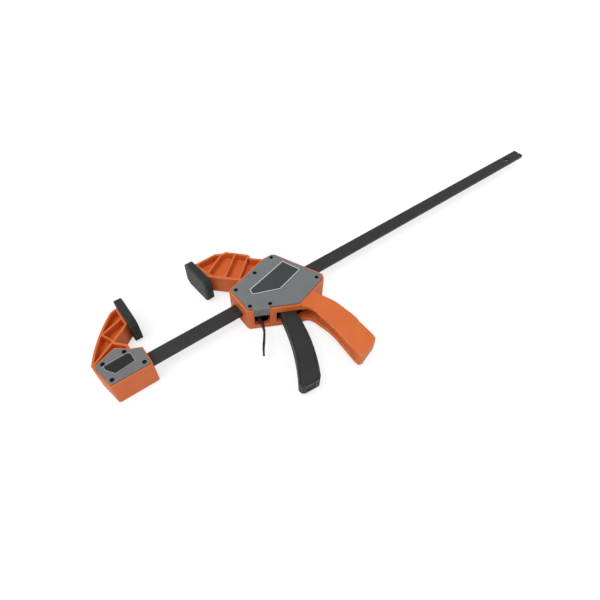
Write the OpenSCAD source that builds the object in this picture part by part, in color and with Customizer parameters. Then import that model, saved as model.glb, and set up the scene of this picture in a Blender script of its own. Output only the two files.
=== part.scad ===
// Quick release bar clamp, lying on its side.
// X runs along the bar from the fixed jaw to the free end, Y from the handle towards the pads, and Z up.
// The origin is the centre of the fixed pad's clamping face. The shapes are drawn from the bar's centre
// line instead, where Y is 0, and the module on_bar() moves them into place.

/* [Bar] */
// Length of the bar
bar_len = 818; // [700:1:1000]
// Width of the bar, across its edges
bar_w = 19; // [16:0.5:20]
// Thickness of the bar
bar_t = 6; // [4:0.5:7]
// Diameter of the hole for hanging the clamp up
hang_hole_d = 10; // [6:0.5:12]
// Distance from the bar's free end to the middle of the hanging hole
hang_hole_inset = 37; // [20:1:60]
// Diameter of the pins that hold the fixed jaw on the bar
jaw_pin_d = 5; // [3:0.5:6]

/* [Pads] */
// Length of a pad, along the jaw
pad_len = 54.4; // [46:0.2:56]
// Width of a pad, across the jaw
pad_w = 42; // [34:1:43]
// Thickness of a pad
pad_t = 11; // [9:0.5:13]
// Bevel across each corner of a pad
pad_corner = 6.5; // [2:0.5:9]
// Height of the middle of the fixed pad above the bar's centre line
throat = 74; // [74:0.5:80]
// Height of the middle of the moving pad above that of the fixed pad
pad_rise = 3.2; // [0:0.1:5]
// Gap between the middles of the two pads
opening = 98; // [94:1:180]
// Angle by which the moving pad leans towards the fixed jaw at its tip
toe_in = 4.6; // [0:0.2:6]

/* [Mouldings] */
// Thickness of the block and of the housing, without their covers
body_t = 39; // [38:0.5:42]
// Width of both jaw arms
arm_w = 30; // [24:1:32]
// Thickness of the flanges round the jaw arms
flange_t = 3.2; // [2:0.2:4]
// Thickness of the ribs on the jaw arms
rib_t = 2.4; // [1.6:0.2:4]
// Thickness of the web in the middle of a jaw arm
web_t = 6; // [3:0.5:10]
// Wall of the housing, with the ledge that carries the cover
housing_wall = 6; // [5:0.25:6.5]
// Width of the orange rim that shows round a cover
cover_rim = 3; // [2:0.25:3.5]
// Width of the orange rim that shows round the fixed jaw's plates
plate_rim = 2.2; // [1:0.2:3]
// Thickness of the handle at its waist
handle_t = 19; // [17:0.5:26]
// Amount by which the handle's free end is thicker than its waist
handle_flare = 6.2; // [0:0.2:8]
// Depth of the channel along the handle's inner side
channel_depth = 3; // [1:0.5:6]
// Walls above and below that channel
channel_wall = 2.4; // [1.6:0.2:4]

/* [Covers] */
// Thickness of the side covers
cover_t = 3; // [2.5:0.25:4]
// Depth to which the covers sit in the mouldings
cover_seat = 1; // [0.5:0.25:2]
// Height of the raised trim on the covers
trim_h = 0.5; // [0.2:0.1:1]
// Diameter of the screws' shanks
screw_d = 3; // [2:0.25:3.5]
// Diameter of the screws' heads
screw_head_d = 5.6; // [4.5:0.1:6]
// Length of the screws' shanks
screw_len = 11; // [6:0.5:13]

/* [Trigger and brake] */
// Thickness of the trigger
trigger_t = 19; // [16:0.5:20]
// Diameter of the pin that the trigger swings on
trigger_pin_d = 6; // [4:0.5:7]
// Thickness of one drive plate
plate_t = 3; // [2:0.25:3.5]
// Thickness of the brake lever's steel
brake_t = 2.6; // [2:0.1:3]
// Width of the brake lever's free end
brake_tail_w = 12; // [8:0.5:14]
// Thickness of the springs' wire
spring_wire = 1.6; // [1:0.1:2]
// Mean radius of the springs
spring_r = 12; // [12:0.1:13]

/* [Fits] */
// Clearance all round between the bar and what slides on it
bar_slide = 0.25; // [0.1:0.05:0.5]
// Clearance all round between the bar and the slots in the plates that grip it
grip_slide = 0.6; // [0.5:0.05:1]
// Radial clearance of pins and screws in their holes
pin_fit = 0.05; // [0.02:0.01:0.1]
// Gap round covers, labels and pads in their seats
seat_gap = 0.15; // [0.1:0.05:0.3]

/* [Hidden] */
$fn = 48;

orange = "#DA6A32";
grey = "#767A7B";
charcoal = "#333435";
steel = "#8C8F92";
bar_black = "#3E3F40";

corner_steps = 5;
cover_top = body_t / 2 - cover_seat + cover_t;
trim_top = cover_top + trim_h;
ledge_z = body_t / 2 - cover_seat;

// ---- outline helpers ----

function unit(v) = v / norm(v);
function xy(p) = [p.x, p.y];
function before(points, i) = xy(points[(i + len(points) - 1) % len(points)]);
function after(points, i) = xy(points[(i + 1) % len(points)]);

// Points of an outline whose corners [x, y, r] are rounded to the radius r.
function rounded(points) = [
    for (i = [0:len(points) - 1])
        let (
            p = xy(points[i]),
            r = points[i][2],
            a = unit(before(points, i) - p),
            b = unit(after(points, i) - p),
            half = acos(a * b) / 2,
            middle = p + unit(a + b) * r / sin(half),
            start = p + a * r / tan(half) - middle,
            finish = p + b * r / tan(half) - middle,
            from = atan2(start.y, start.x),
            turn = (atan2(finish.y, finish.x) - from + 540) % 360 - 180
        )
        each r == 0 ? [p] : [
            for (k = [0:corner_steps])
                middle + r * [cos(from + turn * k / corner_steps), sin(from + turn * k / corner_steps)]
        ]
];

// An outline drawn anticlockwise, moved inwards by d on every side, with sharp corners.
function inset_sharp(points, d) = [
    for (i = [0:len(points) - 1])
        let (
            p = xy(points[i]),
            e = unit(p - before(points, i)),
            f = unit(after(points, i) - p),
            n = [-e.y, e.x],
            m = [-f.y, f.x]
        )
        p + d * (n + m) / (1 + n * m)
];

// The same, with the corner radii reduced by d.
function inset(points, d) = let (moved = inset_sharp(points, d)) [
    for (i = [0:len(points) - 1])
        [moved[i].x, moved[i].y, max(points[i][2] - d, 0.8)]
];

// Points from a to b along an arc whose middle lies `sag` to the left of the straight line.
function arc(a, b, sag, steps = 8) = [
    for (k = [0:steps])
        let (
            t = k / steps,
            d = b - a,
            left = unit([-d.y, d.x])
        )
        a + d * t + left * sag * 4 * t * (1 - t)
];

// A point on the line from a to b, `s` from a.
function along(a, b, s) = a + unit(b - a) * s;

module on_bar() translate([0, -throat, 0]) children();

// A slab of the outline, centred on the bar's middle plane.
module slab(points, t) linear_extrude(t, center = true) polygon(points);

// A slab of the outline between two heights.
module layer(points, z0, z1) translate([0, 0, z0]) linear_extrude(z1 - z0) polygon(points);

// An upright strip from a to b, centred on the line.
module strip(a, b, t, h) {
    d = b - a;
    translate([a.x, a.y, 0])
        rotate([0, 0, atan2(d.y, d.x)])
            translate([-t / 2, -t / 2, -h / 2])
                cube([norm(d) + t, t, h]);
}

// The bar's section, grown by a clearance, between two places along it.
module bar_space(x0, x1, gap) {
    translate([x0, -bar_w / 2 - gap, -bar_t / 2 - gap])
        cube([x1 - x0, bar_w + 2 * gap, bar_t + 2 * gap]);
}

module both_sides() {
    children();
    mirror([0, 0, 1]) children();
}

// ---- bar ----

bar_x0 = -58;
bar_x1 = bar_x0 + bar_len;
hang_x = bar_x1 - hang_hole_inset;
jaw_pin_x = [-47, -25];
end_nick = 1.5;

module bar() color(bar_black) on_bar()
    difference() {
        bar_space(bar_x0, bar_x1, 0);
        translate([hang_x, 0, -bar_t]) cylinder(d = hang_hole_d, h = 2 * bar_t);
        for (x = jaw_pin_x)
            translate([x, 0, -bar_t]) cylinder(r = jaw_pin_d / 2 + pin_fit, h = 2 * bar_t);
        translate([bar_x1, 0, -bar_t]) cylinder(r = end_nick, h = 2 * bar_t);
    }

module fixed_jaw_pins() color(steel) on_bar()
    for (x = jaw_pin_x)
        translate([x, 0, -ledge_z]) cylinder(d = jaw_pin_d, h = 2 * ledge_z);

// ---- fixed jaw ----

block_half = 20.5;
block_outline = [[-64.5, -block_half, 3], [-pad_t, -block_half, 3], [-pad_t, 9.7, 1.5],
    [-23.5, 15.2, 1], [-32.5, 22.8, 1], [-39.3, 28, 2], [-71.5, 16.5, 4]];
fixed_plate_outline = inset(block_outline, plate_rim);
fixed_arm_outline = concat(
    [[-pad_t, throat - 18], [-pad_t, throat + 13.6], [-15.5, throat + 13.6], [-22.3, throat + 11.2]],
    arc([-23.8, throat + 9.8], [-71.9, 23.4], -3.5),
    [[-71.2, 16.5], [-50, -5], [-23.6, -5], [-23.6, 26.5], [-35.5, 40], [-21.5, 48.6]]);
fixed_ribs = [
    [[-69, 22.5], [-35.5, 41.3]],
    [[-44, 59.5], [-35.5, 41.3]],
    [[-44, 58.5], [-pad_t, 69.5]],
];
fixed_screws = [[-58.8, -12.8], [-18.5, -12.8], [-32, 14.4], [-59.4, 13]];
badge_outline = [[-53, -8.8, 1], [-25.5, -6.2, 1], [-25.5, 7.9, 1], [-30, 11.4, 1], [-61, 10.3, 1],
    [-61, 3.4, 1]];
badge_frame_w = 1.4;
badge_floor = cover_top - 1.2;
badge_rib_h = 0.5;
badge_ribs = 6;

// The tongue on a jaw's end that a pad is pushed onto, drawn about the pad's middle.
nose_len = 27;
nose_w = 20;
nose_h = 6;
nose_root = 2.5;

module jaw_nose(gap = 0) {
    translate([-pad_t - nose_root, -nose_len / 2 - gap, -nose_w / 2 - gap])
        cube([nose_root + nose_h + gap, nose_len + 2 * gap, nose_w + 2 * gap]);
}

// A jaw arm: a slab with pockets on both sides, which leave a web, flanges all round and ribs.
module jaw_arm(outline, ribs) {
    difference() {
        slab(outline, arm_w);
        both_sides()
            difference() {
                layer(inset_sharp(outline, flange_t), web_t / 2, arm_w);
                for (r = ribs)
                    strip(r[0], r[1], rib_t, 3 * arm_w);
            }
    }
}

module fixed_jaw() color(orange) on_bar()
    difference() {
        union() {
            slab(rounded(block_outline), body_t);
            jaw_arm(fixed_arm_outline, fixed_ribs);
            translate([0, throat, 0]) jaw_nose();
        }
        bar_space(bar_x0, 0, pin_fit);
        both_sides()
            layer(rounded(inset(block_outline, plate_rim - seat_gap)), ledge_z, body_t);
        for (x = jaw_pin_x)
            translate([x, 0, -body_t]) cylinder(r = jaw_pin_d / 2 + pin_fit, h = 2 * body_t);
        both_sides()
            screw_holes(fixed_screws);
    }

// Pilot holes below the covers' screws.
module screw_holes(places) {
    for (p = places)
        translate([p.x, p.y, cover_top - screw_sunk - screw_len - 0.5])
            cylinder(r = screw_d / 2 + pin_fit, h = screw_len + cover_t);
}

// Seats for the screws' heads, and the holes under them, through a cover.
screw_sunk = 1.6;
module screw_seats(places) {
    for (p = places) {
        translate([p.x, p.y, cover_top - cover_t - 1])
            cylinder(r = screw_d / 2 + pin_fit, h = cover_t + 2);
        translate([p.x, p.y, cover_top - screw_sunk])
            cylinder(r = screw_head_d / 2 + pin_fit, h = cover_t);
    }
}

module screws(places) color(charcoal) on_bar()
    for (p = places)
        translate([p.x, p.y, cover_top - screw_sunk])
            difference() {
                union() {
                    cylinder(d = screw_head_d, h = screw_head_h);
                    translate([0, 0, -screw_len]) cylinder(d = screw_d, h = screw_len + screw_head_h / 2);
                }
                for (a = [0, 90])
                    rotate([0, 0, a])
                        translate([-cross_len / 2, -cross_w / 2, screw_head_h / 2])
                            cube([cross_len, cross_w, screw_head_h]);
            }
screw_head_h = 1.2;
cross_len = 3.2;
cross_w = 0.7;

module fixed_cover() color(grey) on_bar()
    difference() {
        union() {
            layer(rounded(fixed_plate_outline), ledge_z, cover_top);
            layer(rounded(badge_outline), ledge_z, trim_top);
        }
        layer(rounded(inset(badge_outline, badge_frame_w)), badge_floor, trim_top + 1);
        screw_seats(fixed_screws);
    }

module fixed_badge() color(charcoal) on_bar() {
    face = inset(badge_outline, badge_frame_w + seat_gap);
    layer(rounded(face), badge_floor, cover_top - badge_rib_h);
    intersection() {
        layer(rounded(face), badge_floor, cover_top);
        for (k = [0:badge_ribs - 1])
            translate([-62, -8 + k * 3, badge_floor]) cube([40, 1.4, cover_t]);
    }
}

module fixed_cover_upper() fixed_cover();
module fixed_cover_lower() mirror([0, 0, 1]) fixed_cover();
module fixed_cover_screws_upper() screws(fixed_screws);
module fixed_cover_screws_lower() mirror([0, 0, 1]) screws(fixed_screws);
module fixed_badge_upper() fixed_badge();
module fixed_badge_lower() mirror([0, 0, 1]) fixed_badge();

// ---- pads ----

// A pad about the middle of its clamping face, which looks along +X.
face_border = 3;
face_depth = 0.6;
module pad() color(charcoal) {
    a = pad_len / 2;
    b = pad_w / 2;
    c = pad_corner;
    outline = [[a, b - c], [a - c, b], [c - a, b], [-a, b - c],
        [-a, c - b], [c - a, -b], [a - c, -b], [a, c - b]];
    difference() {
        rotate([90, 0, -90]) {
            layer(outline, face_depth, pad_t);
            layer(inset_sharp(outline, face_border), 0, pad_t);
        }
        jaw_nose(seat_gap);
    }
}

module fixed_pad() pad();

// Places the moving pad's own frame: its face looks along -X and leans by the toe-in.
module at_moving_pad() {
    translate([opening, throat + pad_rise, 0])
        rotate([0, 0, toe_in])
            mirror([1, 0, 0]) children();
}

module moving_pad() on_bar() at_moving_pad() pad();

// ---- sliding head ----

// The head's shapes follow the opening, and are drawn for an opening of 98.
shift = opening - 98;
module on_head() on_bar() translate([shift, 0, 0]) children();

housing_outline = [[120.5, -22.5, 5], [184, -55, 4], [238.5, -38, 5], [243.5, -29, 5],
    [209.5, 45, 7], [191.5, 45, 5], [120.5, 23.5, 4]];
cover_outline = inset(housing_outline, cover_rim);
cavity_outline = inset(housing_outline, housing_wall);
head_screws = [[202.5, 38.3], [166.4, 27.6], [128.6, 17.1], [128.6, -17.5], [152.6, -29.3],
    [231.5, -29.5]];
boss_r = 4.8;

// Ends of the moving pad's back, on the side of the bar and at the tip.
pad_back = [for (v = [-21.5, 18.5])
    [98 + pad_t * cos(toe_in) - v * sin(toe_in), throat + pad_rise + pad_t * sin(toe_in) + v * cos(toe_in)]];
head_arm_outline = [pad_back[1], pad_back[0] + [0.8, 9], [145, 33], [150, 20], [200, 20], [200, 42],
    [196, 45.5], [181.5, 59.5], [182, 67.5], [158.5, 92], [152, 92.3], [142.8, 97.5]];
head_ribs = [
    [[118, 72.5], [151, 91.5]],
    [[132.5, 51.5], [168, 81]],
    [[144, 34.5], [181, 67]],
    [pad_back[1] + [3, -4], [117.5, 64]],
];
handle_inner = [[190.9, -59.4], [195.3, -65.3], [197, -71.8], [198, -80], [199, -88.5], [200.2, -97],
    [200.6, -106], [200.4, -116], [199.8, -127], [199.3, -139], [199.1, -150]];
handle_outline = concat(
    [[184, -50], [185.4, -56.1]],
    handle_inner,
    [[199.8, -156], [201.6, -158.9], [205, -159.3], [231.6, -151], [234.6, -148], [235.4, -143]],
    [[235.8, -134], [236.4, -122], [236.6, -111], [236.1, -99], [234.7, -88], [232.6, -78],
    [230, -70.2], [225.9, -62.6], [221.2, -55.1], [216, -48], [214, -40]]);

// The handle's section along its length, from the housing's edge down: [distance, half thickness].
neck_half = body_t / 2;
waist_half = handle_t / 2;
end_half = waist_half + handle_flare / 2;
function neck(share) = waist_half + share * (neck_half - waist_half);
function flare(share) = waist_half + share * (end_half - waist_half);
handle_section = [[-20, neck(1)], [0, neck(1)], [5, neck(0.73)], [12, neck(0.48)], [20, neck(0.3)],
    [28, neck(0.18)], [38, neck(0.08)], [50, neck(0.01)], [61, neck(0)], [73, flare(0.2)],
    [87, flare(0.56)], [100, flare(0.9)], [112, flare(1)]];

// The two openings in the housing's underside, measured along it from its front corner.
under_a = xy(housing_outline[0]);
under_b = xy(housing_outline[1]);
under_angle = atan2((under_b - under_a).y, (under_b - under_a).x);
lever_gap = [9, 30];
trigger_gap = [39, 70];
lever_gap_z = [-11, 7.5];
trigger_gap_w = trigger_t + 1.6;

module along_underside() translate([under_a.x, under_a.y, 0]) rotate([0, 0, under_angle]) children();

// The middle of the trigger's pin.
pin_at = [178, 19.5];

// The wall inside the housing that guides the bar and holds the brake spring.
bulkhead_x = 151;
bulkhead_t = 3.5;

// Places along the bar of what works inside the housing.
guide_t = 3;
guide_half = [14, 12];
plates_x = 190;
plate_gap = 0.2;
plate_half = [-23, 15];
plate_half_w = 10;
seat_x = 213;
seat_t = 3;
seat_half = [-19, 13];
seat_half_w = 15;
seat_rib = 4;

// Everything between the handle's two broad sides, each moved inwards by d.
module between_handle_sides(d = 0) {
    edge = xy(housing_outline[2]) - under_b;
    translate([under_b.x, under_b.y, 0])
        rotate([0, 0, atan2(edge.y, edge.x) - 90])
            rotate([90, 0, 0])
                linear_extrude(4 * body_t, center = true)
                    polygon(concat(
                        [for (p = handle_section) [p[0], p[1] - d]],
                        [for (k = [len(handle_section) - 1:-1:0])
                            [handle_section[k][0], d - handle_section[k][1]]]));
}

module handle() {
    difference() {
        intersection() {
            slab(handle_outline, body_t);
            between_handle_sides();
        }
        intersection() {
            slab(concat(
                [[150, handle_inner[3].y + 1]],
                [for (k = [3:len(handle_inner) - 1]) handle_inner[k] + [channel_depth, 0]],
                [[150, handle_inner[10].y]]), body_t);
            between_handle_sides(channel_wall);
        }
    }
}

module head_housing() color(orange) on_head()
    difference() {
        union() {
            slab(rounded(housing_outline), body_t);
            jaw_arm(head_arm_outline, head_ribs);
            handle();
            translate([-shift, 0, 0]) at_moving_pad() jaw_nose();
        }
        // The hollow, which leaves bosses, the bulkhead and the spring seat's ribs.
        difference() {
            slab(rounded(cavity_outline), 2 * body_t);
            for (p = head_screws)
                translate([p.x, p.y, -ledge_z]) cylinder(r = boss_r, h = 2 * ledge_z);
            translate([bulkhead_x, -60, -ledge_z]) cube([bulkhead_t, 120, 2 * ledge_z]);
            for (y = [seat_half[0] - 30, seat_half[1] - 3])
                translate([seat_x + seat_t, y, -ledge_z]) cube([seat_rib, 33, 2 * ledge_z]);
        }
        both_sides()
            layer(rounded(inset(housing_outline, cover_rim - seat_gap)), ledge_z, body_t);
        both_sides()
            screw_holes(head_screws);
        bar_space(100, 260, bar_slide);
        // Seat of the front guide, open to the hollow.
        translate([120.5 + cover_rim, -guide_half.x - seat_gap, -guide_half.y - seat_gap])
            cube([guide_t + 20, 2 * (guide_half.x + seat_gap), 2 * (guide_half.y + seat_gap)]);
        along_underside() {
            translate([lever_gap[0], -10, lever_gap_z[0]])
                cube([lever_gap[1] - lever_gap[0], 30, lever_gap_z[1] - lever_gap_z[0]]);
            // Seat of the cover's lip.
            translate([lever_gap[0] - seat_gap, -1, lever_gap_z[1] - seat_gap])
                cube([lever_gap[1] - lever_gap[0] + 2 * seat_gap, lip_t + seat_gap + 1, body_t]);
            translate([lever_gap[0] - seat_gap, -1, cover_top - lip_t - seat_gap])
                cube([lever_gap[1] - lever_gap[0] + 2 * seat_gap, cover_rim + 1, body_t]);
            translate([trigger_gap[0], -2, -trigger_gap_w / 2])
                cube([trigger_gap[1] - trigger_gap[0], 14, trigger_gap_w]);
        }
        // Pocket in the top of the handle that the squeezed trigger swings into.
        translate([180, -80, -trigger_gap_w / 2])
            cube([handle_inner[3].x + channel_depth - 180, 42, trigger_gap_w]);
        // Notch for the brake lever's upper end.
        translate([brake_top.x - notch_half, brake_top.y - 8, -brake_w / 2 - 0.5])
            cube([2 * notch_half, 8 + brake_t / 2 + 0.3, brake_w + 1]);
    }

// Thickness of the cover's lip, which closes the top of the lever's opening.
lip_t = 2.4;

module head_cover(lip) color(grey) on_head()
    difference() {
        union() {
            layer(rounded(cover_outline), ledge_z, cover_top);
            if (lip)
                along_underside()
                    translate([lever_gap[0], 0, 0])
                        rotate([90, 0, 90])
                            linear_extrude(lever_gap[1] - lever_gap[0])
                                polygon([[0, lever_gap_z[1]], [lip_t, lever_gap_z[1]],
                                    [lip_t, cover_top - lip_t], [cover_rim + 1, cover_top - lip_t],
                                    [cover_rim + 1, cover_top], [0, cover_top]]);
            translate([pin_at.x, pin_at.y, trigger_t / 2 + pin_boss_gap])
                cylinder(r = pin_boss_r, h = ledge_z - trigger_t / 2);
        }
        screw_seats(head_screws);
        translate([pin_at.x, pin_at.y, 0])
            cylinder(r = trigger_pin_d / 2 + pin_fit, h = ledge_z);
        layer(rounded(inset(label_outline, -seat_gap)), label_floor, cover_top + 1);
    }
pin_boss_r = 6;
pin_boss_gap = 0.4;

label_outline = [[141.5, -3.5, 2], [178, -17.5, 3], [222, -5, 2], [211, 23, 1.5], [143, 6, 2]];
label_floor = cover_top - 0.8;

module head_label() color(charcoal) on_head()
    layer(rounded(label_outline), label_floor, trim_top);

module head_cover_upper() head_cover(true);
module head_cover_lower() mirror([0, 0, 1]) head_cover(false);
module head_screws_here() translate([shift, 0, 0]) screws(head_screws);
module head_cover_screws_upper() head_screws_here();
module head_cover_screws_lower() mirror([0, 0, 1]) head_screws_here();
module head_label_upper() head_label();
module head_label_lower() mirror([0, 0, 1]) head_label();

module trigger_pin() color(steel) on_head()
    translate([pin_at.x, pin_at.y, -ledge_z + 0.5])
        cylinder(d = trigger_pin_d, h = 2 * ledge_z - 1);

module front_bar_guide() color(steel) on_head()
    difference() {
        translate([120.5 + cover_rim, -guide_half.x, -guide_half.y])
            cube([guide_t, 2 * guide_half.x, 2 * guide_half.y]);
        bar_space(120.5, 120.5 + cover_rim + guide_t + 1, bar_slide);
    }

module spring_seat() color(steel) on_head()
    difference() {
        translate([seat_x, seat_half[0], -seat_half_w])
            cube([seat_t, seat_half[1] - seat_half[0], 2 * seat_half_w]);
        bar_space(seat_x - 1, seat_x + seat_t + 1, bar_slide);
    }

// ---- trigger ----

fork_gap = 0.8;
trigger_tail = [[115.3, -141], [116, -146], [120, -149], [140, -151], [143.5, -148]];
trigger_outline = concat(
    [[171, 19.5], [169, 0], [163, -34], [157.5, -50]],
    arc([157.5, -50], trigger_tail[0], 4.6, 7),
    trigger_tail,
    arc(trigger_tail[4], [177.5, -60], -5, 7),
    [[181, -46], [plates_x - 6, -26], [plates_x - 2, -21]],
    [[plates_x - 0.3, -17], [plates_x - 0.3, -15], [plates_x - 2, -11], [186, 0], [185, 19.5]]);
end_pocket = [13, 2, 12];
end_hole_d = 3.4;
end_hole_depth = 8;

module trigger() color(charcoal) on_head()
    difference() {
        union() {
            slab(trigger_outline, trigger_t);
            translate([pin_at.x, pin_at.y, 0]) cylinder(r = 7.2, h = trigger_t, center = true);
        }
        // The fork's gap, which straddles the bar.
        translate([150, -bar_w / 2 - 5, -bar_t / 2 - fork_gap])
            cube([60, 60, bar_t + 2 * fork_gap]);
        translate([pin_at.x, pin_at.y, 0])
            cylinder(r = trigger_pin_d / 2 + pin_fit, h = 2 * trigger_t, center = true);
        // Pocket and hole in the trigger's end.
        translate([127.5, -149.9, 0])
            rotate([0, 0, -6]) {
                cube([end_pocket.x, 2 * end_pocket.y, end_pocket.z], center = true);
                translate([10.2, 0, 0])
                    rotate([90, 0, 0]) cylinder(d = end_hole_d, h = 2 * end_hole_depth, center = true);
            }
    }

module drive_plates() color(steel) on_head()
    for (k = [0:1])
        difference() {
            translate([plates_x + k * (plate_t + plate_gap), plate_half[0], -plate_half_w])
                cube([plate_t, plate_half[1] - plate_half[0], 2 * plate_half_w]);
            bar_space(plates_x - 5, plates_x + 20, grip_slide);
        }

// ---- springs ----

// A coil spring about the bar between two places along it, with a ring of points every 20 degrees.
ring_sides = 6;
rings_a_turn = 16;
function coil_ring(x, angle) = [
    for (k = [0:ring_sides - 1])
        let (
            a = 360 * k / ring_sides,
            r = spring_r + cos(a) * spring_wire / 2
        )
        [x + sin(a) * spring_wire / 2, r * cos(angle), r * sin(angle)]
];

module coil(x0, x1, turns) {
    rings = round(turns * rings_a_turn);
    first = x0 + spring_wire / 2;
    last = x1 - spring_wire / 2;
    points = [
        for (i = [0:rings])
            each coil_ring(first + (last - first) * i / rings, 360 * i / rings_a_turn)
    ];
    sides = [
        for (i = [0:rings - 1], k = [0:ring_sides - 1])
            let (n = (k + 1) % ring_sides, a = i * ring_sides, b = a + ring_sides)
            [a + k, a + n, b + n, b + k]
    ];
    caps = [
        [for (k = [ring_sides - 1:-1:0]) k],
        [for (k = [0:ring_sides - 1]) rings * ring_sides + k],
    ];
    polyhedron(points, concat(sides, caps));
}

drive_spring_x0 = plates_x + 2 * plate_t + plate_gap;
module drive_spring() color(steel) on_head()
    coil(drive_spring_x0 + 0.2, seat_x - 0.2, 4);

module brake_spring() color(steel) on_head()
    coil(brake_spring_x0, bulkhead_x - 0.2, 2.5);

// ---- brake ----

brake_w = 20;
brake_wide_len = 43;
brake_top = [138.7, 23];
brake_foot = [134.2, -27];
brake_tail = [[133.4, -36], [131.6, -43], [127.6, -51], [120.5, -60.5], [114.5, -68], [110.6, -73.5],
    [108.2, -77.5]];
notch_half = 2.4;
brake_spring_x0 = brake_top.x + brake_t / 2 + 0.3;

// The brake lever's middle line, thickened to both sides.
function ribbon(line, t) = let (
    n = len(line) - 1,
    side = [for (i = [0:n]) let (d = unit(line[min(i + 1, n)] - line[max(i - 1, 0)])) [-d.y, d.x]]
) concat([for (i = [0:n]) line[i] + side[i] * t / 2], [for (i = [n:-1:0]) line[i] - side[i] * t / 2]);

module brake_lever() color(charcoal) on_head()
    difference() {
        union() {
            slab(ribbon([brake_top, along(brake_top, brake_foot, brake_wide_len)], brake_t), brake_w);
            slab(ribbon(concat([along(brake_top, brake_foot, brake_wide_len - 1), brake_foot], brake_tail),
                brake_t), brake_tail_w);
        }
        bar_space(120, 150, grip_slide);
    }

bar();
fixed_jaw_pins();
fixed_jaw();
fixed_cover_upper();
fixed_cover_lower();
fixed_cover_screws_upper();
fixed_cover_screws_lower();
fixed_badge_upper();
fixed_badge_lower();
fixed_pad();
head_housing();
head_cover_upper();
head_cover_lower();
head_cover_screws_upper();
head_cover_screws_lower();
head_label_upper();
head_label_lower();
moving_pad();
front_bar_guide();
spring_seat();
trigger_pin();
trigger();
drive_plates();
drive_spring();
brake_lever();
brake_spring();
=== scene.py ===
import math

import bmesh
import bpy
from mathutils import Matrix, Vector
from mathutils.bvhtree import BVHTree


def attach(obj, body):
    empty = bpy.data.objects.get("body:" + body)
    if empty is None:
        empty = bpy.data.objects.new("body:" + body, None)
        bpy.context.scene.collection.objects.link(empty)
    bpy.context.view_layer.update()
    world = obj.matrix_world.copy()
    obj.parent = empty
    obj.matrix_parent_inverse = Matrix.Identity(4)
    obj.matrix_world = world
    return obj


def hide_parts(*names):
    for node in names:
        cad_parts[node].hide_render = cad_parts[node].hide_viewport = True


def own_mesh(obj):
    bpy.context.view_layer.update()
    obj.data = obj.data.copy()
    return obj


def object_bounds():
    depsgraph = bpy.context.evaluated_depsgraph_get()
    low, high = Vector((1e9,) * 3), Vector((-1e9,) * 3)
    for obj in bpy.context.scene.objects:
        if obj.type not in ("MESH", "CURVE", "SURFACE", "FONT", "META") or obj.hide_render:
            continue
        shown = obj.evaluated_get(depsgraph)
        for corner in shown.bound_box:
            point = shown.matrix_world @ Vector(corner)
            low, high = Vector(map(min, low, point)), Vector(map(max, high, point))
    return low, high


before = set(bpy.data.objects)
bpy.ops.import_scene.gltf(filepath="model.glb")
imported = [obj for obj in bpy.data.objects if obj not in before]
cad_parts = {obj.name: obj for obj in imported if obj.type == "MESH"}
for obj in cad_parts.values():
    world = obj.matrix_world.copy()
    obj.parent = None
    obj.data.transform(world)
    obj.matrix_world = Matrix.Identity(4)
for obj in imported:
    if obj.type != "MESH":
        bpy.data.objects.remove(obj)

# %% [markdown]
# # A quick release bar clamp
#
# The clamp lies on its side. A long flat steel bar carries two orange jaws: one is pinned to its end, and the
# other, with a pistol handle and a trigger, slides along it. The measured solids come packed from the CAD side
# as a fixed frame. This notebook dresses them: it rounds the edges of the mouldings, gives every piece its
# finish, and sets up the light and the camera.
#
# Everything is in metres. X runs along the bar, Y points from the handle to the pads, and Z is up.

MM = 0.001
BAR_Y = -74 * MM
cad_low, cad_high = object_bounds()


def linked(name, data):
    """A new object for a mesh, a lamp or a camera, in the scene."""
    thing = bpy.data.objects.new(name, data)
    bpy.context.scene.collection.objects.link(thing)
    return thing


print("CAD box in mm:", [round(side / MM, 1) for side in cad_high - cad_low])

# %% [markdown]
# ## Colour and nodes
#
# Colours are written as they look on a screen, in sRGB hex. Shaders add up light, so they need linear values,
# and one function turns the first into the second. The other small functions add a shader node, set its
# sockets and link them, so that each finish below reads like a recipe.

# %% Helpers for the finishes
def linear(hex_colour):
    """The linear colour of an sRGB hex value, by the sRGB standard's formula."""
    channels = [int(hex_colour[i:i + 2], 16) / 255 for i in (1, 3, 5)]
    return [c / 12.92 if c <= 0.04045 else ((c + 0.055) / 1.055) ** 2.4 for c in channels] + [1.0]


def feed(tree, node, **sockets):
    """Sets a node's sockets, given by name or as i and a number, to a value or to another node's output."""
    for key, value in sockets.items():
        numbered = key[0] == "i" and key[1:].isdigit()
        socket = node.inputs[int(key[1:]) if numbered else key.replace("_", " ")]
        if isinstance(value, bpy.types.NodeSocket):
            tree.links.new(value, socket)
        else:
            socket.default_value = value


def add(tree, kind, **settings):
    """Adds a node. Its properties are set first, and all other settings are sockets, as in `feed`."""
    node = tree.nodes.new(kind)
    for key in [key for key in settings if key[0].islower() and hasattr(node, key)]:
        setattr(node, key, settings.pop(key))
    feed(tree, node, **settings)
    return node


def noise(tree, place, size_mm, detail, **more):
    """A cloudy pattern from 0 to 1, with spots of about the given size."""
    return add(tree, "ShaderNodeTexNoise", Vector=place, Scale=1 / (size_mm * MM), Detail=detail,
               **more).outputs[0]


def ranged(tree, value, low, high, least=0.0, most=1.0):
    """Spreads the values from `low` to `high` over `least` to `most`, and holds them there beyond."""
    return add(tree, "ShaderNodeMapRange", Value=value, From_Min=low, From_Max=high,
               To_Min=least, To_Max=most).outputs[0]


def mixed(tree, share, first, second):
    """A colour between two: the first where the share is 0, the second where it is 1."""
    return add(tree, "ShaderNodeMix", data_type="RGBA", Factor=share, i6=first, i7=second).outputs[2]


def bump(tree, height, strength, depth_mm):
    """A normal that makes a pattern look raised."""
    return add(tree, "ShaderNodeBump", Height=height, Strength=strength, Distance=depth_mm * MM).outputs[0]


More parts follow.
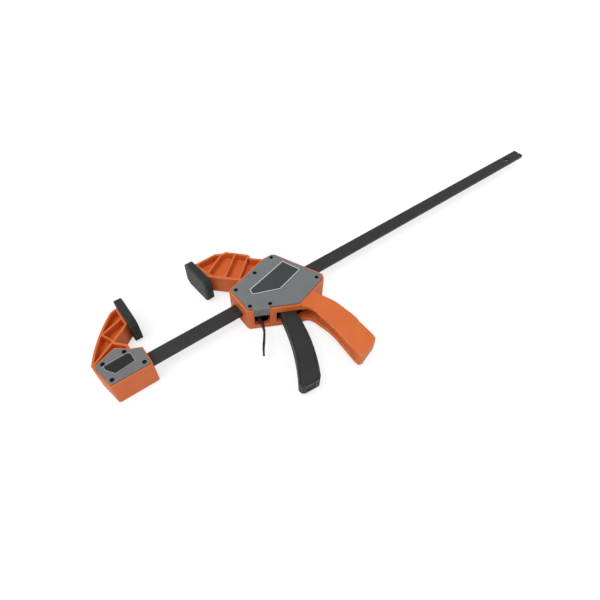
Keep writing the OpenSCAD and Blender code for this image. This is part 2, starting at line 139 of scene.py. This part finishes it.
def new_finish(name):
    """A new material with its tree, its shader, and the place on the object where a pattern is looked up."""
    finish = bpy.data.materials.new(name)
    finish.use_nodes = True
    tree = finish.node_tree
    return finish, tree, tree.nodes["Principled BSDF"], add(tree, "ShaderNodeTexCoord").outputs["Object"]


# %% [markdown]
# ## Moulded plastic
#
# Jaws, covers and trigger are glass-filled nylon. The mould's walls are spark-eroded, which prints a fine
# grain on the part, and the edges that rub against benches and boxes turn a little paler and smoother. So the
# finish has three layers: a slow change of tone over a few centimetres, the grain as a bump, and a paler
# colour where the mesh says that a face belongs to a rounded edge. That paler colour is partly this rubbing
# and partly a painted highlight along the edges, strongest on narrow roundings. The grain of a real mould is
# 0.3 mm wide, too fine for this picture, so it is drawn about three times as coarse.

# %% The moulded finish
CLOUD_MM = 28
SCUFF_MM = 7
MOST_WEAR_AND_HIGHLIGHT = 0.5


def moulded_finish(name, colour, tone, edge, roughness, grain_mm=0.9, grain_depth=0.1, sheen=0.3):
    """Nylon with a grained skin: `tone` is its darker shade and `edge` the paler colour of its rounded edges,
    partly rubbed pale and partly painted highlight.
    """
    finish, tree, shader, place = new_finish(name)
    clouds = noise(tree, place, CLOUD_MM, detail=3.0)
    grain = noise(tree, place, grain_mm, detail=2.0)
    scuffs = noise(tree, place, SCUFF_MM, detail=6.0, Roughness=0.7)
    body = mixed(tree, ranged(tree, clouds, 0.35, 0.65), linear(tone), linear(colour))
    # The paler edge is partly rubbing and partly a painted highlight, broken into patches.
    worn_and_highlit = add(tree, "ShaderNodeAttribute", attribute_name="edge_wear_and_highlight").outputs["Fac"]
    patchy = ranged(tree, scuffs, 0.42, 0.6, most=MOST_WEAR_AND_HIGHLIGHT)
    wear_and_highlight = add(tree, "ShaderNodeMath", operation="MULTIPLY", i0=worn_and_highlit, i1=patchy).outputs[0]
    feed(tree, shader, Base_Color=mixed(tree, wear_and_highlight, body, linear(edge)),
         Roughness=ranged(tree, scuffs, 0.3, 0.7, roughness - 0.05, roughness + 0.06),
         Normal=bump(tree, grain, grain_depth, depth_mm=0.2), IOR=1.53, Specular_IOR_Level=sheen)
    return finish


# Each finish's third colour is its paler edge: partly rubbed pale, partly painted highlight.
orange_nylon = moulded_finish("orange_moulded_nylon", "#DB6C2D", "#D66728", "#E59A6C", 0.46, sheen=0.4)
grey_nylon = moulded_finish("grey_moulded_nylon", "#747879", "#6F7375", "#9DA0A0", 0.5, grain_mm=0.8)
ring_nylon = moulded_finish("worn_grey_moulded_nylon", "#8E9191", "#888B8B", "#B4B6B6", 0.45, grain_mm=0.8)
charcoal_nylon = moulded_finish("charcoal_moulded_nylon", "#2B2B2C", "#272728", "#606061", 0.5, grain_mm=1.1)
# A lighter copy of the charcoal: a painted highlight for the trigger's end face.
end_highlight_nylon = moulded_finish("painted_highlight_charcoal_nylon", "#48484A", "#414142", "#6A6A6B", 0.5, grain_mm=1.1)
print("moulded finishes:", orange_nylon.name, grey_nylon.name, ring_nylon.name, charcoal_nylon.name,
      end_highlight_nylon.name)

# %% [markdown]
# ## Steel
#
# The bar is hot-rolled flat steel, straightened and blackened. Rolling and drawing leave faint lines along
# it, and blackening leaves a slightly blotchy, satin surface. The plates, pins and springs inside are bright
# zinc-plated steel. For the lines, a noise is stretched along X by a Mapping node. They are a few tenths of
# a millimetre apart on the real bar, and 1.2 mm here, so that they can be seen.

# %% The steel finishes
BLOTCH_MM = 16


def steel_finish(name, colour, tone, roughness, line_mm=1.2, line_length_mm=90.0):
    """Rolled or plated steel with faint lines along X."""
    finish, tree, shader, place = new_finish(name)
    stretch = add(tree, "ShaderNodeMapping", Vector=place, Scale=(line_mm / line_length_mm, 1.0, 1.0))
    lines = noise(tree, stretch.outputs[0], line_mm, detail=3.0)
    blotches = noise(tree, place, BLOTCH_MM, detail=5.0, Roughness=0.6)
    both = add(tree, "ShaderNodeMath", operation="ADD", i0=lines, i1=blotches).outputs[0]
    feed(tree, shader, Base_Color=mixed(tree, ranged(tree, both, 0.75, 1.25), linear(tone), linear(colour)),
         Roughness=ranged(tree, both, 0.7, 1.3, roughness - 0.06, roughness + 0.08),
         Normal=bump(tree, lines, 0.12, depth_mm=0.15), Metallic=1.0)
    return finish


bar_steel = steel_finish("blackened_rolled_steel", "#4B4B4B", "#444445", 0.5)
bright_steel = steel_finish("zinc_plated_steel", "#9B9DA0", "#8C8F93", 0.35, line_mm=0.8, line_length_mm=4.0)
black_screw = steel_finish("black_oxide_screw_steel", "#2B2C2D", "#202021", 0.42, line_mm=0.8, line_length_mm=2.0)
lever_steel = steel_finish("blackened_strip_steel", "#3E3F40", "#343536", 0.42, line_mm=0.9, line_length_mm=0.9)
print("steel finishes:", bar_steel.name, bright_steel.name, black_screw.name, lever_steel.name)

# %% [markdown]
# ## Rubber and print
#
# The pads are moulded rubber, soft and dull, with a dusty bloom. Their clamping faces are lighter still:
# partly dust, and partly a painted sheen where light glances off them. The label is a dark printed film with
# a pale border line. Its field is left bare.

# %% The rubber and the label's films
DUST_MM = 9
PEBBLE_MM = 1.2


def rubber_finish(name, colour, dusty):
    """Dull rubber with a dusty bloom and a pebbled skin."""
    finish, tree, shader, place = new_finish(name)
    dust = noise(tree, place, DUST_MM, detail=6.0, Roughness=0.65)
    pebbles = add(tree, "ShaderNodeTexVoronoi", Vector=place, Scale=1 / (PEBBLE_MM * MM)).outputs["Distance"]
    feed(tree, shader, Base_Color=mixed(tree, ranged(tree, dust, 0.35, 0.7), linear(colour), linear(dusty)),
         Normal=bump(tree, pebbles, 0.15, depth_mm=0.2), Roughness=0.62, IOR=1.5, Specular_IOR_Level=0.35)
    return finish


pad_rubber = rubber_finish("black_pad_rubber", "#212224", "#303133")
# The clamping faces' rubber: lighter for dust and for a painted sheen.
dust_and_sheen_rubber = rubber_finish("dust_and_sheen_pad_rubber", "#414243", "#4E4F50")
label_dark = moulded_finish("dark_label_film", "#3C3F42", "#373A3D", "#3C3F42", 0.4,
                            grain_mm=1.0, grain_depth=0.04)
label_pale = moulded_finish("pale_label_print", "#C9CCCE", "#C2C5C7", "#C9CCCE", 0.45,
                            grain_mm=1.0, grain_depth=0.04)
print("soft and printed finishes:", pad_rubber.name, dust_and_sheen_rubber.name, label_dark.name, label_pale.name)

# %% [markdown]
# ## Rounding the mouldings
#
# A solid from CAD has knife-sharp edges, which a mould can't leave and a hand wouldn't like. The shape is
# right, so the quickest true way is to copy the solid's mesh, merge its loose triangles, melt the flat faces
# together, and bevel the edges that are sharp. Each face that the bevel makes gets a mark,
# edge_wear_and_highlight, which the finishes above read to paint a paler edge: partly rubbed pale, partly a
# painted highlight.
#
# A bevel that is wider than the face beside it folds over itself. Blender's own clamp avoids that by making
# every edge of the piece as narrow as its worst one needs, which would leave nothing to see. Here each edge
# gets a radius of its own: where the two bevels at an edge's ends, and its own, would use up its length, these
# three become smaller, and the rest of the piece keeps its full radius.
#
# A few spots still go wrong, most of them where a rib runs out into a wall. So the piece is bevelled again
# with smaller radii near those spots, up to six times, and the best try is kept.

# %% The solid's mesh and the radii that fit it
WELD = 0.002 * MM         # corners nearer to each other than this become one
FLAT = math.radians(0.6)  # faces that meet at less than this become one
SHARP = math.radians(28)  # edges where faces meet at more than this are rounded
FITTING_ROUNDS = 8
USABLE_LENGTH = 0.9       # share of an edge that the roundings may take up
STRAIGHT = 0.1            # sine of the angle of a corner that is nearly a straight line


def merged_copy(node):
    """A bmesh of a CAD node's shape, with shared corners and whole flat faces."""
    shape = bmesh.new()
    shape.from_mesh(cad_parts[node].data)
    bmesh.ops.remove_doubles(shape, verts=shape.verts, dist=WELD)
    bmesh.ops.dissolve_limit(shape, angle_limit=FLAT, use_dissolve_boundaries=False,
                             verts=shape.verts, edges=shape.edges)
    return shape


def setback(corner, beside, own):
    """How much of an edge's end the roundings take, for the radii of the edge beside it and its own."""
    angle = corner.calc_angle() if corner.is_convex else 2 * math.pi - corner.calc_angle()
    if abs(math.sin(angle)) < STRAIGHT:
        return 0.0
    return (beside + own * math.cos(angle)) / math.sin(angle)


def fitting_radii(shape, radius_of):
    """The radius of each sharp edge: the wanted one, or less where it would run into its neighbours."""
    radii = {e: radius_of(e) for e in shape.edges if len(e.link_faces) == 2 and e.calc_face_angle(0) > SHARP}
    corners = [loop for face in shape.faces for loop in face.loops]
    for _ in range(FITTING_ROUNDS):
        for corner in corners:
            around = (corner.link_loop_prev.edge, corner.edge, corner.link_loop_next.edge)
            before, own, after = (radii.get(e, 0.0) for e in around)
            if before + own + after == 0:
                continue
            taken = setback(corner, before, own) + setback(corner.link_loop_next, after, own)
            room = USABLE_LENGTH * corner.edge.calc_length()
            if taken > room:
                for edge in around:
                    if edge in radii:
                        radii[edge] *= room / taken
    return radii


# %% One try at a bevel
PARALLEL = 0.99998  # cosine of the angle between faces that count as lying in one plane


def flat_regions(shape):
    """Neighbouring faces in one plane and of one material, in groups. Single triangles and quads are left out."""
    seen = set()
    regions = []
    for start in shape.faces:
        if start in seen:
            continue
        seen.add(start)
        region = [start]
        for face in region:
            for other in [o for e in face.edges for o in e.link_faces]:
                level = abs(other.normal.dot(start.normal)) > PARALLEL
                if other not in seen and level and other.material_index == start.material_index:
                    seen.add(other)
                    region.append(other)
        if len(region) > 1 or len(start.verts) > 4:
            regions.append(region)
    return regions


def refill_flat_faces(shape):
    """Fills each flat region anew inside its outline, because its old inner edges may cross after a bevel.
    Gives the number of regions where that leaves a gap, so that they keep their old faces."""
    unfilled = 0
    for region in flat_regions(shape):
        inside = set(region)
        outline = [e for f in region for e in f.edges if sum(o in inside for o in e.link_faces) == 1]
        facing = sum((f.normal * f.calc_area() for f in region), Vector())
        kind = region[0].material_index
        old = [list(f.verts) for f in region]
        bmesh.ops.delete(shape, geom=region, context="FACES_ONLY")
        made = bmesh.ops.triangle_fill(shape, edges=outline, use_beauty=True, normal=facing)["geom"]
        filled = [f for f in made if isinstance(f, bmesh.types.BMFace)]
        closed = all(len(e.link_faces) == 2 for e in outline + [e for f in filled for e in f.edges])
        if not closed:
            bmesh.ops.delete(shape, geom=filled, context="FACES_ONLY")
            filled = [shape.faces.new(corners) for corners in old]
            unfilled += 1
        for face in filled:
            face.normal_update()
            if closed and face.normal.dot(facing) < 0:
                face.normal_flip()
            face.material_index = kind
    bmesh.ops.delete(shape, geom=[e for e in shape.edges if not e.link_faces], context="EDGES")
    return unfilled


def bevelled(shape, radii, segments):
    """A new bmesh with each edge bevelled by its own radius. The new faces have material index 1."""
    widest = max(radii.values())
    weight = shape.edges.layers.float["bevel_weight_edge"]
    for edge, radius in radii.items():
        edge[weight] = radius / widest
    mesh = bpy.data.meshes.new("rounding")
    shape.to_mesh(mesh)
    helper = linked("rounding", mesh)
    mesh.materials.append(None)
    mesh.materials.append(None)
    bevel = helper.modifiers.new("rounding", "BEVEL")
    bevel.width = widest
    bevel.segments = segments
    bevel.limit_method = "WEIGHT"
    bevel.use_clamp_overlap = False
    bevel.loop_slide = False
    bevel.material = 1
    result = bmesh.new()
    result.from_object(helper, bpy.context.evaluated_depsgraph_get())
    bpy.data.objects.remove(helper)
    bpy.data.meshes.remove(mesh)
    return result, refill_flat_faces(result)


# %% The best of a few tries
TRIES = 6
SMALLER = 2.5               # what a radius near a fault is divided by
FOLDED = math.radians(165)  # faces that meet at more than this lie on each other
UNFILLED_SCORE = 5          # how many faults an unfilled region counts for
HARMLESS = 0.3 * MM         # a corner nearer to the old surface than this is no stray
ALLOWED = 0.6               # how far a rounding may move a corner, as a share of its radius
BESIDE = 2.5                # how far a rounding's new corners can lie from its edge, in radii
FAULT_REACH = 1.6           # how far from its edge a rounding can cause a fault, in radii
STRAY_SIZE = 1.2            # the size of a stray's spot, as a share of its distance
FOLD_SIZE = 0.2 * MM        # the size of a fold's spot
NARROW = 0.5 * MM           # roundings narrower than this get the full paler edge: rubbing and painted highlight
FULL_WEAR_AND_HIGHLIGHT, SLIGHT_WEAR_AND_HIGHLIGHT = 1.0, 0.35
TINY = 1e-18                # stands in for the length of an edge that has none


def distance_to_edge(place, edge):
    """The distance of a point from an edge, its ends included."""
    a, b = (v.co for v in edge.verts)
    share = max(0.0, min(1.0, (place - a).dot(b - a) / max((b - a).length_squared, TINY)))
    return (place - a.lerp(b, share)).length


def strays(surface, result, radii):
    """The new corners that are farther from the old surface than the roundings near them allow."""
    widest = max(radii.values())
    found = []
    for vertex in result.verts:
        nearest, _, _, off = surface.find_nearest(vertex.co)
        if off < HARMLESS:
            continue
        near = [r for e, r in radii.items() if distance_to_edge(vertex.co, e) < max(BESIDE * r, MM)]
        if off > ALLOWED * widest or off > ALLOWED * max(near, default=0.0):
            found.append((vertex, nearest, off))
    return found


def rounded(shape, radius_of, segments=2):
    """Rounds the sharp edges. Near a corner that strays or an edge that folds, the next try's radii are smaller.
    The try with the fewest faults is kept, and its stray corners are laid back on the old surface."""
    shape.edges.layers.float.new("bevel_weight_edge")
    surface = BVHTree.FromBMesh(shape)
    radii = fitting_radii(shape, radius_of)
    tries = []
    for count in range(TRIES):
        trial, unfilled = bevelled(shape, radii, segments)
        stray = strays(surface, trial, radii)
        folded = [e for e in trial.edges if len(e.link_faces) == 2 and e.calc_face_angle(0) > FOLDED]
        tries.append((len(stray) + len(folded) + UNFILLED_SCORE * unfilled, count, trial, stray))
        spots = [(vertex.co, STRAY_SIZE * off) for vertex, _, off in stray]
        spots += [(vertex.co, FOLD_SIZE) for edge in folded for vertex in edge.verts]
        if not spots:
            break
        for edge, radius in list(radii.items()):
            if any(distance_to_edge(place, edge) < FAULT_REACH * radius + size for place, size in spots):
                radii[edge] = radius / SMALLER
    score, count, result, stray = min(tries, key=lambda one: one[:2])
    for vertex, nearest, _ in stray:
        vertex.co = nearest
    print(f"try {count + 1} is kept, score {score}, {len(stray)} corners laid back")
    shape.free()
    # Each rounding face gets its share of the paler edge: rubbing, and a painted highlight.
    mark = result.faces.layers.float.new("edge_wear_and_highlight")
    for face in result.faces:
        if face.material_index == 1:
            width = face.calc_area() / max(e.calc_length() for e in face.edges)
            face[mark] = FULL_WEAR_AND_HIGHLIGHT if width < NARROW else SLIGHT_WEAR_AND_HIGHLIGHT
            face.material_index = 0
    return result


# %% From a shape to a piece
SMOOTH = math.radians(40)


def finished_piece(shape, name, node, body, finishes):
    """Turns a bmesh into a piece that stands for a CAD node and rides on its body."""
    mesh = bpy.data.meshes.new(name)
    shape.to_mesh(mesh)
    shape.free()
    piece = linked(name, mesh)
    for finish in finishes:
        mesh.materials.append(finish)
    mesh.shade_smooth()
    mesh.set_sharp_from_angle(angle=SMOOTH)
    piece.modifiers.new("flat_faces_stay_flat", "WEIGHTED_NORMAL").keep_sharp = True
    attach(piece, body)
    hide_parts(node)
    print(f"{name}: {len(mesh.polygons)} faces")
    return piece


# %% [markdown]
# ## The two orange mouldings
#
# Both jaws are one moulding each, with deep pockets between ribs. Their edges have the mould's small radius.
# The handle is part of the sliding one and has generous, hand-friendly edges: its rim gets a larger radius,
# and the largest where the palm and the heel of the hand press on it.

# %% Fixed jaw
MOULD_RADIUS = 0.8 * MM
fixed_jaw = rounded(merged_copy("fixed_jaw"), lambda edge: MOULD_RADIUS)
finished_piece(fixed_jaw, "fixed_jaw_moulding", "fixed_jaw", "bar_and_fixed_jaw", [orange_nylon])

# %% Sliding head
PALM_RADIUS = 2.6 * MM
RIM_RADIUS = 1.1 * MM
HANDLE_START = BAR_Y - 56 * MM
HANDLE_END = BAR_Y - 157 * MM
PALM_X = 210 * MM
BROAD_SIDE, NARROW_SIDE = 0.7, 0.3  # the least and the most of a normal that points up or down there


def handle_radius(edge):
    """A rim edge of the handle lies between one broad side, facing up or down, and one narrow side."""
    height = edge.verts[0].co.z
    broad = [f for f in edge.link_faces if f.normal.z * height > BROAD_SIDE * abs(height)]
    narrow = [f for f in edge.link_faces if abs(f.normal.z) < NARROW_SIDE]
    if any(v.co.y > HANDLE_START for v in edge.verts) or len(broad) != 1 or len(narrow) != 1:
        return MOULD_RADIUS
    palm = all(v.co.x > PALM_X or v.co.y < HANDLE_END for v in edge.verts)
    return PALM_RADIUS if palm else RIM_RADIUS


head_housing = rounded(merged_copy("head_housing"), handle_radius, segments=3)
finished_piece(head_housing, "head_moulding", "head_housing", "head", [orange_nylon])

# %% [markdown]
# ## Covers, trigger, release lever, pads and bar
#
# These get the same treatment with their own radii: a rubber pad has softer edges than a steel lever. The
# raised frame on the fixed jaw's cover is rubbed pale, and the trigger has a moulded groove round its flat
# sides. Its end face gets a lighter copy of its charcoal, a painted highlight, and the pads' clamping faces
# are lighter from dust and a painted sheen.

# %% Covers
COVER_RADIUS = 0.4 * MM
RING_TOP = 21.9 * MM
RING_DEPTH = 0.3 * MM
for side in ("upper", "lower"):
    for node, body in (("fixed_cover_", "bar_and_fixed_jaw"), ("head_cover_", "head")):
        cover = rounded(merged_copy(node + side), lambda edge: COVER_RADIUS)
        for face in cover.faces:
            if node == "fixed_cover_" and all(abs(v.co.z) > RING_TOP - RING_DEPTH for v in face.verts):
                face.material_index = 1
        finished_piece(cover, node + side + "_moulding", node + side, body, [grey_nylon, ring_nylon])

# %% Trigger
TRIGGER_TOP = 9.5 * MM
TRIGGER_START = BAR_Y - 34 * MM
TRIGGER_END = BAR_Y - 147.5 * MM
CORNER_X, CORNER_Y = 119 * MM, BAR_Y - 145.5 * MM
CORNER_RADIUS = 3.0 * MM
INSIDE_RADIUS = 0.5 * MM
END_RADIUS = 1.3 * MM
FINGER_RADIUS = 4.6 * MM
BACK_RADIUS = 3.0 * MM
FLAT_SIDE, END_SIDE, FINGER_SIDE = 0.99, 0.8, 0.5  # the least part of a normal that points to that side
CLOSE = 0.01 * MM
GROOVE_WIDTH = 0.8 * MM
GROOVE_DEPTH = 0.8 * GROOVE_WIDTH


def trigger_radius(edge):
    """Wide roundings where the fingers hold the trigger, and small ones round its end and inside the head."""
    level = abs(edge.verts[0].co.z + edge.verts[1].co.z) / 2
    if all(v.co.x < CORNER_X and v.co.y < CORNER_Y for v in edge.verts):
        return CORNER_RADIUS
    if abs(level - TRIGGER_TOP) > CLOSE or any(v.co.y > TRIGGER_START for v in edge.verts):
        return INSIDE_RADIUS
    if all(v.co.y < TRIGGER_END for v in edge.verts):
        return END_RADIUS
    return FINGER_RADIUS if any(f.normal.x < -FINGER_SIDE for f in edge.link_faces) else BACK_RADIUS


trigger = rounded(merged_copy("trigger"), trigger_radius, segments=4)
for outward in (1, -1):
    flat = [f for f in trigger.faces
            if f.normal.z * outward > FLAT_SIDE and abs(f.calc_center_median().z) > TRIGGER_TOP - CLOSE]
    line = bmesh.ops.inset_region(trigger, faces=flat, thickness=GROOVE_WIDTH, use_even_offset=False)["faces"]
    sunk = bmesh.ops.extrude_face_region(trigger, geom=line)["geom"]
    bmesh.ops.translate(trigger, vec=(0, 0, -GROOVE_DEPTH * outward),
                        verts=[v for v in sunk if isinstance(v, bmesh.types.BMVert)])
    bmesh.ops.delete(trigger, geom=[f for f in line if f.is_valid], context="FACES")
# The trigger's end face gets the lighter charcoal copy, a painted highlight.
for face in trigger.faces:
    at_end = face.normal.y < -END_SIDE and face.calc_center_median().y < TRIGGER_END
    face.material_index = 1 if at_end else 0
finished_piece(trigger, "trigger_moulding", "trigger", "trigger", [charcoal_nylon, end_highlight_nylon])

# %% Release lever, pads and bar
LEVER_RADIUS = 0.4 * MM
PAD_RADIUS = 0.6 * MM
BAR_RADIUS = 0.6 * MM
CLAMPING_FACE = 0.9  # the least part of a normal that points along the bar
for node, body, radius, finishes, slot in (
        ("brake_lever", "brake", LEVER_RADIUS, [lever_steel], "lever_steel"),
        ("fixed_pad", "bar_and_fixed_jaw", PAD_RADIUS, [pad_rubber, dust_and_sheen_rubber], "pad_rubber"),
        ("moving_pad", "head", PAD_RADIUS, [pad_rubber, dust_and_sheen_rubber], "pad_rubber"),
        ("bar", "bar_and_fixed_jaw", BAR_RADIUS, [bar_steel], "bar_steel")):
    piece = rounded(merged_copy(node), lambda edge, radius=radius: radius)
    # The clamping faces get the lighter rubber: dust, and a painted sheen.
    if dust_and_sheen_rubber in finishes:
        for face in piece.faces:
            face.material_index = 1 if abs(face.normal.x) > CLAMPING_FACE else 0
    finished_piece(piece, node + "_finished", node, body, finishes)

# %% [markdown]
# ## The label plates
#
# The label on each cover is a dark film with a pale line round its edge. The line is a ring of faces that
# inset_region cuts from the plate's own outer face, so it lies flush, as print does.

# %% Label plates
LINE_WIDTH = 1.3 * MM
OUTER_FACE = 0.9  # the least part of a normal that points out of the cover
for side, outward in (("upper", 1), ("lower", -1)):
    plate = merged_copy("head_label_" + side)
    outer = [f for f in plate.faces if f.normal.z * outward > OUTER_FACE]
    ring = bmesh.ops.inset_region(plate, faces=outer, thickness=LINE_WIDTH, use_even_offset=True)["faces"]
    for face in ring:
        face.material_index = 1
    finished_piece(plate, "label_plate_" + side, "head_label_" + side, "head", [label_dark, label_pale])

# %% [markdown]
# ## The drive spring
#
# When the trigger pushes the drive plates, the spring behind them gets shorter. Here the spring is a copy
# of its CAD mesh with the plated steel finish, riding on the head.

# %% Drive spring
spring = linked("drive_spring_coil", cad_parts["drive_spring"].data.copy())
spring.data.materials.clear()
spring.data.materials.append(bright_steel)
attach(spring, "head")
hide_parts("drive_spring")
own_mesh(spring)

# %% [markdown]
# ## Pieces that keep their CAD mesh
#
# Screws, pins, plates, badges and the brake's spring are right as they come. They only get a finish, on the
# slots that they already have.

# %% Finishes for the carried-over pieces
carried = {
    bright_steel: ("fixed_jaw_pins", "front_bar_guide", "spring_seat", "trigger_pin", "drive_plates",
                   "brake_spring"),
    black_screw: ("fixed_cover_screws_upper", "fixed_cover_screws_lower", "head_cover_screws_upper",
                  "head_cover_screws_lower"),
    charcoal_nylon: ("fixed_badge_upper", "fixed_badge_lower"),
}
for finish, nodes in carried.items():
    for node in nodes:
        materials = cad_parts[node].data.materials
        for index in range(len(materials)):
            materials[index] = finish
print("carried-over pieces:", sum(len(nodes) for nodes in carried.values()))

# %% [markdown]
# ## Floor, light and camera
#
# The clamp lies on a plain pale floor. The photograph's ground is pure white, so the camera sees the floor as
# mostly white with the clamp's soft shadow, while the clamp itself is lit by the floor's plain colour. The
# light is a soft sky and a broad lamp from above, slightly from the left.

# %% Floor
FLOOR_SIZE = 12.0
FLOOR_GAP = 0.2 * MM
SHADE = 0.35
GLOW = 0.72
WHITE = (1.0, 1.0, 1.0, 1.0)


def emptied(owner):
    """The node tree of a material or a world, with nothing in it."""
    owner.use_nodes = True
    owner.node_tree.nodes.clear()
    return owner.node_tree


floor_mesh = bpy.data.meshes.new("floor")
floor_shape = bmesh.new()
bmesh.ops.create_grid(floor_shape, x_segments=1, y_segments=1, size=FLOOR_SIZE)
bmesh.ops.translate(floor_shape, vec=(0, 0, cad_low.z - FLOOR_GAP), verts=floor_shape.verts)
floor_shape.to_mesh(floor_mesh)
floor_shape.free()
floor = linked("floor", floor_mesh)

floor_finish = bpy.data.materials.new("pale_floor")
tree = emptied(floor_finish)
seen = add(tree, "ShaderNodeLightPath").outputs["Is Camera Ray"]
plain = add(tree, "ShaderNodeBsdfDiffuse", Color=linear("#EDEDED")).outputs[0]
shadowed = add(tree, "ShaderNodeBsdfDiffuse", Color=(SHADE, SHADE, SHADE, 1.0)).outputs[0]
glow = add(tree, "ShaderNodeEmission", Color=WHITE, Strength=GLOW).outputs[0]
white = add(tree, "ShaderNodeAddShader", i0=shadowed, i1=glow).outputs[0]
ground = add(tree, "ShaderNodeMixShader", i0=seen, i1=plain, i2=white).outputs[0]
add(tree, "ShaderNodeOutputMaterial", Surface=ground)
floor_mesh.materials.append(floor_finish)

# %% Sky and lamp
SKY = 0.68
LAMP = 1.15
LAMP_WIDTH = math.radians(35)
LAMP_FROM = Vector((-0.35, -0.1, 1.0))
world = bpy.data.worlds.new("studio")
bpy.context.scene.world = world
tree = emptied(world)
seen = add(tree, "ShaderNodeLightPath").outputs["Is Camera Ray"]
sky = add(tree, "ShaderNodeBackground", Color=WHITE, Strength=ranged(tree, seen, 0.0, 1.0, SKY, 1.0)).outputs[0]
add(tree, "ShaderNodeOutputWorld", Surface=sky)

lamp_data = bpy.data.lights.new("broad_lamp", "SUN")
lamp_data.energy = LAMP
lamp_data.angle = LAMP_WIDTH
lamp = linked("broad_lamp", lamp_data)
lamp.rotation_mode = "QUATERNION"
lamp.rotation_quaternion = LAMP_FROM.to_track_quat("Z", "Y")

# %% Camera
EYE = Vector((-48.2, -404.0, 487.0)) * MM
RIGHT = Vector((0.79127, -0.61064, 0.03183))
DOWN = Vector((-0.46413, -0.63367, -0.61890))
AHEAD = Vector((0.39810, 0.47494, -0.78482))
SENSOR_MM, LENS_MM = 36.0, 26.63
camera_data = bpy.data.cameras.new("camera")
camera_data.sensor_width = SENSOR_MM
camera_data.lens = LENS_MM
camera = linked("camera", camera_data)
turn = Matrix((RIGHT, -DOWN, -AHEAD)).transposed()
camera.matrix_world = Matrix.Translation(EYE) @ turn.to_4x4()
bpy.context.scene.camera = camera
bpy.context.scene.view_settings.view_transform = "Standard"
print("camera height in mm:", round(EYE.z / MM, 1))
